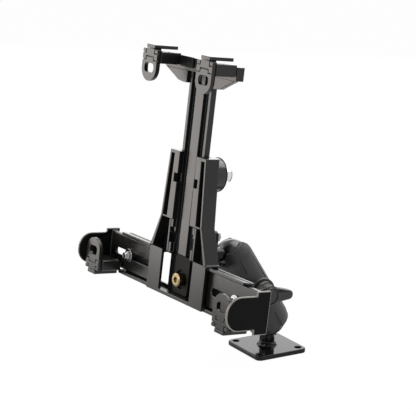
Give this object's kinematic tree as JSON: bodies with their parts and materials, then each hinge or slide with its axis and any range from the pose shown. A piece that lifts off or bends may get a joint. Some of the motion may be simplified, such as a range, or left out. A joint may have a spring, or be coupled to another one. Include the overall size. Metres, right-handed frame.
{
  "type": "locking tablet mount",
  "caption": "Ball-jointed tablet mount: square base plate, clamp arm with wing knob, and a key-locked holder with sliding head, hooks and side arms.",
  "frame": {"origin": "centre of the base plate's underside, on the axis of the post", "axes": "+Z along the post and away from the surface it is screwed to, +X to the holder's right, +Y to the back, away from the tablet"},
  "size_m": [0.2175, 0.156, 0.2609],
  "materials": {
    "satin": "satin black powder coat",
    "black": "glossy black powder coat",
    "composite": "fine-grained glass-filled nylon",
    "rubber": "matte",
    "chrome": "polished",
    "steel": "zinc-plated",
    "brass": "turned"
  },
  "bodies": {
    "base": {"base_plate": "black"},
    "lower_ball": {"base_ball_coat": "rubber"},
    "arm": {"arm_shell_right": "composite", "arm_shell_left": "composite", "arm_bolt": "steel", "arm_washer": "steel"},
    "knob": {"wing_knob": "composite"},
    "upper_ball": {"holder_ball_coat": "rubber"},
    "holder": {"holder_ball": "black", "ball_nuts": "chrome", "mount_block": "satin", "housing": "satin", "back_cover": "satin", "cover_screws": "chrome", "lock_body": "black", "center_block": "black", "brass_stud": "brass", "arm_screws": "chrome", "arm_washers": "steel"},
    "lock": {"lock_plug": "chrome", "lock_cam": "steel"},
    "slider": {"slider_bar": "satin", "cross_head": "satin", "head_screws": "chrome", "head_pads": "rubber", "hook_tab_left": "satin", "hook_tab_right": "satin", "hook_cap_left": "satin", "hook_cap_right": "satin", "hook_block_left": "satin", "hook_block_right": "satin", "hook_pads": "rubber"},
    "left_arm": {"side_arm_left": "satin", "foot_tab_left": "satin", "foot_ledge_left": "satin", "foot_block_left": "satin", "foot_pad_left": "rubber"},
    "right_arm": {"side_arm_right": "satin", "foot_tab_right": "satin", "foot_ledge_right": "satin", "foot_block_right": "satin", "foot_pad_right": "rubber"}
  },
  "joints": [
    {"name": "base_swivel", "type": "hinge", "parent": "base", "child": "lower_ball", "pos_m": [0, 0, 0.0258], "axis": [0, 0, 1], "continuous": true},
    {"name": "base_tilt", "type": "hinge", "parent": "lower_ball", "child": "arm", "pos_m": [0, 0, 0.0258], "axis": [0.9975, 0.0705, 0], "range_deg": [-87, 22]},
    {"name": "knob_turn", "type": "hinge", "parent": "arm", "child": "knob", "pos_m": [0.00141, -0.01994, 0.05759], "axis": [0.9975, 0.0705, 0], "continuous": true},
    {"name": "holder_tilt", "type": "hinge", "parent": "arm", "child": "upper_ball", "pos_m": [0.00282, -0.03988, 0.08938], "axis": [0.9975, 0.0705, 0], "range_deg": [-106, 4]},
    {"name": "holder_spin", "type": "hinge", "parent": "upper_ball", "child": "holder", "pos_m": [0.00282, -0.03988, 0.08938], "axis": [0.0701, -0.9918, 0.1068], "continuous": true},
    {"name": "lock_turn", "type": "hinge", "parent": "holder", "child": "lock", "pos_m": [0.00393, -0.05559, 0.15805], "axis": [0.0701, -0.9918, 0.1068], "range_deg": [0, 90]},
    {"name": "head_slide", "type": "slide", "parent": "holder", "child": "slider", "axis": [-0.0075, 0.1065, 0.9943], "range_m": [0, 0.055]},
    {"name": "left_arm_slide", "type": "slide", "parent": "holder", "child": "left_arm", "axis": [-0.9975, -0.0705, 0], "range_m": [-0.0175, 0.028]},
    {"name": "right_arm_slide", "type": "slide", "parent": "holder", "child": "right_arm", "axis": [0.9975, 0.0705, 0], "range_m": [-0.0175, 0.028]}
  ]
}
